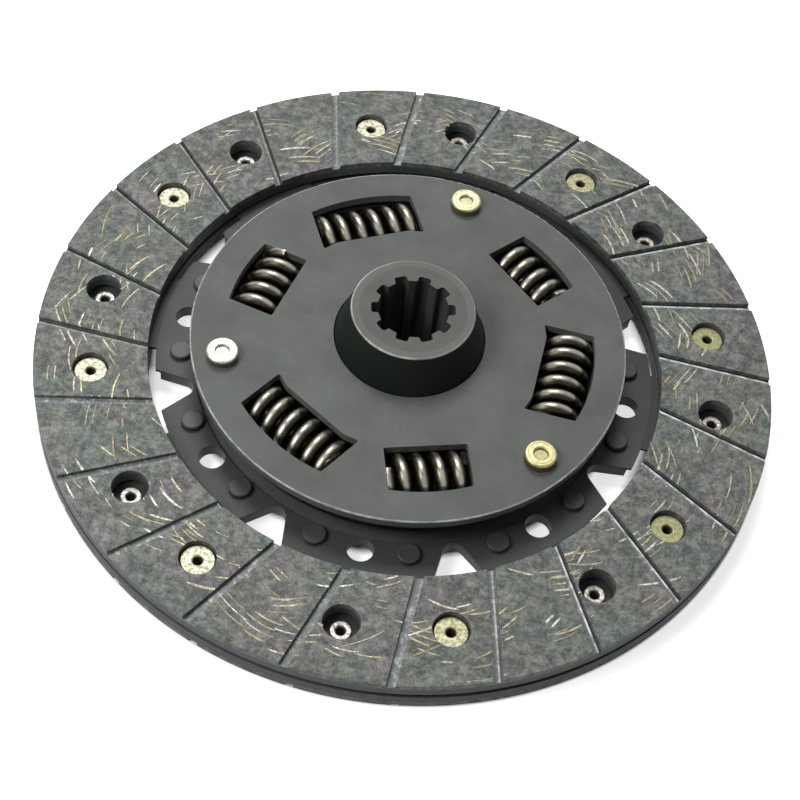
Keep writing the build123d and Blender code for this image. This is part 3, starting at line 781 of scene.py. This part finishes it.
def closed_coil_tree():
    """Compression coil along Z: its end turns close up, and its ends are ground flat."""
    tree, given, result = geometry_tree(
        "closed_coil",
        Float=(
            "Turns", "Length", "Coil Radius", "Wire Radius",
            "Turn Spacing", "End Turn Spacing", "Closing Turns",
        ),
        Int=("Wire Points", "Wire Sides"),
        Material=("Finish",),
    )

    def closed_up(turn):
        """Turns' worth of closing that has gathered by a turn, counted from one end."""
        near = figure(tree, "MINIMUM", turn, given["Closing Turns"])
        square = figure(tree, "DIVIDE", times(tree, near, near), given["Closing Turns"])
        return figure(tree, "SUBTRACT", near, times(tree, square, 0.5))

    index = tree.nodes.new("GeometryNodeInputIndex").outputs[0]
    last = figure(tree, "SUBTRACT", given["Wire Points"], 1.0)
    turn = times(tree, figure(tree, "DIVIDE", index, last), given["Turns"])
    gathered = figure(tree, "ADD", closed_up(turn), times(tree, given["Closing Turns"], 0.5))
    gathered = figure(tree, "SUBTRACT", gathered, closed_up(figure(tree, "SUBTRACT", given["Turns"], turn)))
    closing = figure(tree, "SUBTRACT", given["Turn Spacing"], given["End Turn Spacing"])
    top = times(tree, given["Length"], 0.5)
    bottom = times(tree, top, -1.0)
    height = figure(tree, "MULTIPLY_ADD", given["Turn Spacing"], turn, bottom)
    height = figure(tree, "SUBTRACT", height, times(tree, closing, gathered))
    angle = times(tree, turn, 2 * pi)
    round_x = times(tree, figure(tree, "COSINE", angle), given["Coil Radius"])
    round_y = times(tree, figure(tree, "SINE", angle), given["Coil Radius"])
    path = move(tree, straight_wire(tree, given["Wire Points"]), join(tree, round_x, round_y, height))
    body = round_wire(tree, path, given["Wire Sides"], given["Wire Radius"])

    place = own_place(tree)
    ground_z = figure(tree, "MINIMUM", figure(tree, "MAXIMUM", place[2], bottom), top)
    body = move(tree, body, join(tree, place[0], place[1], ground_z))
    from_middle = figure(tree, "ABSOLUTE", place[2])
    at_end = figure(tree, "GREATER_THAN", from_middle, figure(tree, "SUBTRACT", top, ground_end_band))
    body = remember(tree, body, "ground", at_end)
    normal = split(tree, tree.nodes.new("GeometryNodeInputNormal").outputs[0])
    body = remember(tree, body, "lean", figure(tree, "ABSOLUTE", normal[2]))
    body = smoothed(tree, body)
    bend = tree.nodes.new("GeometryNodeInputMeshEdgeAngle").outputs["Unsigned Angle"]
    sharp = node(tree, "FunctionNodeCompare", bend, sharp_bend, data_type="FLOAT", operation="GREATER_THAN")
    values = {"Geometry": body, "Selection": sharp.outputs[0], "Shade Smooth": False}
    body = node(tree, "GeometryNodeSetShadeSmooth", named=values, domain="EDGE").outputs[0]
    finish_tree(tree, body, given["Finish"], result)
    return tree


def wind_springs(groups):
    """Three long and three short coils in their windows, attached to the driven plate; on the real disc the
    hub squeezes them as it twists, which these coils do not follow.
    """
    tree = closed_coil_tree()
    finish = oiled_coil_steel(groups)
    closing = spring_turn_spacing - spring_end_turn_spacing
    for kind, length, first_angle, tip_side in (
        ("long", long_spring_length, long_window_angle, -1),
        ("short", short_spring_length, short_window_angle, 1),
    ):
        turns = (length + closing * spring_closing_turns) / spring_turn_spacing
        values = {
            "Turns": turns,
            "Length": length,
            "Coil Radius": coil_radius,
            "Wire Radius": spring_wire_radius,
            "Turn Spacing": spring_turn_spacing,
            "End Turn Spacing": spring_end_turn_spacing,
            "Closing Turns": spring_closing_turns,
            "Wire Points": round(turns * wire_points_per_turn) + 1,
            "Wire Sides": spring_wire_sides,
            "Finish": finish,
        }
        for index in range(coil_count):
            angle = radians(first_angle + index * 360 / coil_count)
            coil_axis = Vector((-sin(angle), cos(angle), 0))
            tip = Vector((0, 0, tip_side))
            middle_x, middle_y = spring_seat_radius * cos(angle), spring_seat_radius * sin(angle)
            middle = Vector((middle_x, middle_y, spring_axis_z))
            seat = Matrix((tip, coil_axis.cross(tip), coil_axis)).transposed().to_4x4()
            spring = grow(f"{kind}_coil_{index + 1}", tree, values)
            spring.data.transform(Matrix.Translation(middle) @ seat)
            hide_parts(f"{kind}_damper_spring_{index + 1}")
            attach(spring, "driven_plate")
            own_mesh(spring)


def yarn_wires_tree():
    """Short curved wires that lie in a facing's rubbing face along the paths of its wound yarn."""
    tree, given, result = geometry_tree(
        "yarn_wires",
        Object=("Facing",),
        Float=(
            "Face Height", "Side", "Path Radius", "Outer Radius", "Least Swing", "Swing", "Waves",
            "Wires In Row", "Row Spacing", "Innermost", "Outermost",
            "Shortest", "Longest", "Thinnest", "Thickest", "Flatness",
        ),
        Int=("Wires", "Seed"),
        Material=("Finish",),
    )
    first_left_out = 0.12
    more_left_out = 0.42
    golden_turn = pi * (3 - 5**0.5)
    path_points = 12
    path_sides = 6
    end_thickness = 0.35
    swell_rate = 1.8
    probe_lift = 1.0 * MM
    probe_length = 1.1 * MM
    rim_strip = 0.2 * MM

    def chance(low, high, seed_step, shared):
        """Random number for each wire, or for each row, with a seed of its own for each use."""
        made = node(tree, "FunctionNodeRandomValue", data_type="FLOAT")
        seed = figure(tree, "ADD", given["Seed"], float(seed_step))
        for key, value in {"Min": low, "Max": high, "ID": shared, "Seed": seed}.items():
            put(tree, value, live(made.inputs, key))
        return live(made.outputs, "Value")

    # Each wire's start, wave, length and thickness are drawn on points, one to a wire
    index = tree.nodes.new("GeometryNodeInputIndex").outputs[0]
    row = figure(tree, "FLOOR", figure(tree, "DIVIDE", index, given["Wires In Row"]))
    member = figure(tree, "SUBTRACT", index, times(tree, row, given["Wires In Row"]))
    not_first = figure(tree, "GREATER_THAN", member, 0.5)
    left_out_share = figure(tree, "ADD", times(tree, not_first, more_left_out), first_left_out)
    left_out = figure(tree, "LESS_THAN", chance(0.0, 1.0, 1, index), left_out_share)
    even_turn = times(tree, row, golden_turn)
    start = figure(tree, "ADD", even_turn, chance(-0.025, 0.025, 2, index))
    phase = figure(tree, "MULTIPLY_ADD", even_turn, times(tree, given["Waves"], -1.0), pi / 2)
    phase = figure(tree, "ADD", phase, chance(-1.3, 1.3, 4, row))
    row_rise = chance(given["Innermost"], given["Outermost"], 10, row)
    reach = times(tree, chance(0.0, 1.0, 5, row), chance(0.4, 1.0, 9, index))
    longer = figure(tree, "SUBTRACT", given["Longest"], given["Shortest"])
    reach = figure(tree, "MULTIPLY_ADD", reach, longer, given["Shortest"])
    points = node(tree, "GeometryNodePoints", named={"Count": given["Wires"]}).outputs[0]
    for name, value in (
        ("start", start),
        ("phase", phase),
        ("swing", chance(given["Least Swing"], given["Swing"], 8, row)),
        ("rise", figure(tree, "MULTIPLY_ADD", member, given["Row Spacing"], row_rise)),
        ("reach", figure(tree, "DIVIDE", reach, given["Path Radius"])),
        ("thick", chance(given["Thinnest"], given["Thickest"], 6, index)),
        ("tone", chance(0.0, 1.0, 7, index)),
    ):
        points = remember(tree, points, name, value)
    values = {"Geometry": points, "Selection": left_out}
    points = node(tree, "GeometryNodeDeleteGeometry", named=values).outputs[0]

    # Every wire follows its wave round the facing and thins towards its ends
    values = {"Points": points, "Instance": straight_wire(tree, path_points)}
    wires = node(tree, "GeometryNodeInstanceOnPoints", named=values).outputs[0]
    wires = node(tree, "GeometryNodeRealizeInstances", wires).outputs[0]
    factor = tree.nodes.new("GeometryNodeSplineParameter").outputs["Factor"]
    along = times(tree, figure(tree, "SUBTRACT", factor, 0.5), recall(tree, "reach"))
    angle = figure(tree, "ADD", recall(tree, "start"), along)
    wave = figure(tree, "SINE", figure(tree, "MULTIPLY_ADD", angle, given["Waves"], recall(tree, "phase")))
    radius = figure(tree, "MULTIPLY_ADD", wave, recall(tree, "swing"), given["Path Radius"])
    radius = figure(tree, "ADD", radius, recall(tree, "rise"))
    radius = figure(tree, "MINIMUM", radius, given["Outer Radius"])
    path_x = times(tree, figure(tree, "COSINE", angle), radius)
    path_y = times(tree, figure(tree, "SINE", angle), radius)
    wires = move(tree, wires, join(tree, path_x, path_y, given["Face Height"]))
    half_wave = figure(tree, "SINE", times(tree, factor, pi))
    swell = figure(tree, "MULTIPLY", half_wave, swell_rate, clamp=True)
    swell = figure(tree, "MULTIPLY_ADD", swell, 1 - end_thickness, end_thickness)
    thick = times(tree, swell, recall(tree, "thick"))
    wires = node(tree, "GeometryNodeSetCurveRadius", named={"Curve": wires, "Radius": thick}).outputs[0]
    own_radius = tree.nodes.new("GeometryNodeInputRadius").outputs[0]
    body = round_wire(tree, wires, path_sides, 1.0, Scale=own_radius)

    # The wires are pressed flat into the face, and cut off at holes, grooves and the rim
    place = own_place(tree)
    proud = times(tree, figure(tree, "SUBTRACT", place[2], given["Face Height"]), given["Flatness"])
    flat_z = figure(tree, "ADD", proud, given["Face Height"])
    body = move(tree, body, join(tree, place[0], place[1], flat_z))
    facing = node(tree, "GeometryNodeObjectInfo", given["Facing"]).outputs["Geometry"]
    lifted = figure(tree, "MULTIPLY_ADD", given["Side"], probe_lift, given["Face Height"])
    values = {
        "Target Geometry": facing,
        "Source Position": join(tree, place[0], place[1], lifted),
        "Ray Direction": join(tree, 0.0, 0.0, times(tree, given["Side"], -1.0)),
        "Ray Length": probe_length,
    }
    on_pad = node(tree, "GeometryNodeRaycast", named=values).outputs["Is Hit"]
    rim_start = figure(tree, "SUBTRACT", given["Outer Radius"], rim_strip)
    at_rim = figure(tree, "GREATER_THAN", from_axis(tree, place), rim_start)
    cut_off = figure(tree, "MAXIMUM", figure(tree, "SUBTRACT", 1.0, on_pad), at_rim)
    values = {"Geometry": body, "Selection": cut_off}
    body = node(tree, "GeometryNodeDeleteGeometry", named=values, domain="FACE").outputs[0]
    finish_tree(tree, smoothed(tree, body), given["Finish"], result)
    return tree


def lay_yarn_wires():
    """Open wires of both facings."""
    tree = yarn_wires_tree()
    values = {
        "Path Radius": facing_pitch_radius,
        "Outer Radius": facing_radius - wire_rim_margin,
        "Wires": yarn_wire_count,
        "Wires In Row": wires_in_row,
        "Row Spacing": yarn_row_spacing,
        "Innermost": innermost_row,
        "Outermost": outermost_row,
        "Waves": yarn_waves,
        "Least Swing": least_yarn_swing,
        "Swing": yarn_swing,
        "Shortest": shortest_wire,
        "Longest": longest_wire,
        "Thinnest": thinnest_wire,
        "Thickest": thickest_wire,
        "Flatness": wire_flatness,
        "Finish": yarn_wire_metal(),
    }
    for name, face_z, side, seed in (
        ("front_facing", front_face_z, 1.0, front_wires_seed),
        ("rear_facing", rear_face_z, -1.0, rear_wires_seed),
    ):
        values.update({"Facing": nodes[name], "Face Height": face_z, "Side": side, "Seed": seed})
        wires = grow(f"{name}_wires", tree, values)
        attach(wires, "driven_plate")


# Studio


def background_rays(tree):
    """One for the rays that see the background: from the camera, off gloss and through glass."""
    rays = tree.nodes.new("ShaderNodeLightPath").outputs
    seen = figure(tree, "MAXIMUM", rays["Is Camera Ray"], rays["Is Glossy Ray"])
    return figure(tree, "MAXIMUM", seen, rays["Is Transmission Ray"])


def lay_floor():
    """White floor that keeps the object's shadow, and glows where it lies open in and around the disc."""
    half = floor_half_width
    mesh = bpy.data.meshes.new("floor")
    corners = [(-half, -half, 0), (half, -half, 0), (half, half, 0), (-half, half, 0)]
    mesh.from_pydata(corners, [], [(0, 1, 2, 3)])
    floor = bpy.data.objects.new("floor", mesh)
    material, tree, surface, place = new_material("white_floor")
    feed(tree, surface, Base_Color=floor_colour, Roughness=0.9)
    output = next(each for each in tree.nodes if each.bl_idname == "ShaderNodeOutputMaterial")
    radius = from_axis(tree, split(tree, place))
    notches = times(
        tree,
        spread(tree, radius, cover_radius - 1.2 * MM, cover_radius + 0.8 * MM),
        spread(tree, radius, facing_inner_radius, facing_inner_radius - 3.0 * MM),
    )
    outside = spread(tree, radius, facing_radius, facing_radius + 0.6 * MM)
    open_floor = figure(tree, "MAXIMUM", notches, outside)
    strength = times(tree, open_floor, spread(tree, radius, 0.2, 0.8, floor_glow, 1.0))
    glow = node(tree, "ShaderNodeEmission", None, strength).outputs[0]
    none = node(tree, "ShaderNodeEmission", None, 0.0).outputs[0]
    picked = node(tree, "ShaderNodeMixShader", background_rays(tree), none, glow).outputs[0]
    total = node(tree, "ShaderNodeAddShader", surface.outputs[0], picked).outputs[0]
    tree.links.new(total, output.inputs["Surface"])
    mesh.materials.append(material)
    bpy.context.scene.collection.objects.link(floor)


def soft_lamp(name, place, target, size, power):
    """Square soft lamp aimed at a point."""
    data = bpy.data.lights.new(name, "AREA")
    data.shape = "SQUARE"
    data.size = size
    data.energy = power
    lamp = bpy.data.objects.new(name, data)
    aim = Vector(target) - Vector(place)
    lamp.matrix_world = Matrix.Translation(place) @ aim.to_track_quat("-Z", "Y").to_matrix().to_4x4()
    bpy.context.scene.collection.objects.link(lamp)


def light_studio():
    """Weak surround behind a white backdrop, with one large lamp high behind and a weak one in front."""
    world = bpy.data.worlds.new("studio")
    world.use_nodes = True
    tree = world.node_tree
    tree.nodes.clear()
    output = tree.nodes.new("ShaderNodeOutputWorld")
    surround = node(tree, "ShaderNodeBackground", (1, 1, 1, 1), surround_strength).outputs[0]
    backdrop = node(tree, "ShaderNodeBackground", (1, 1, 1, 1), backdrop_strength).outputs[0]
    picked = node(tree, "ShaderNodeMixShader", background_rays(tree), surround, backdrop).outputs[0]
    tree.links.new(picked, output.inputs["Surface"])
    bpy.context.scene.world = world
    soft_lamp("rear_lamp", rear_lamp_place, rear_lamp_target, rear_lamp_size, rear_lamp_power)
    soft_lamp("front_lamp", front_lamp_place, front_lamp_target, front_lamp_size, front_lamp_power)


ring_place = ring_place_group()
effects = {
    "ring_place": ring_place,
    "skewed_grooves": skewed_grooves_group(ring_place),
    "eased_edges": eased_edges_group(),
    "steel_skin": steel_skin_group(),
    "wound_yarn": wound_yarn_group(ring_place),
}
place_camera()
dress_facings(effects)
dress_middle(effects)
wind_springs(effects)
lay_yarn_wires()
lay_floor()
light_studio()
bpy.context.scene.view_settings.view_transform = "Standard"
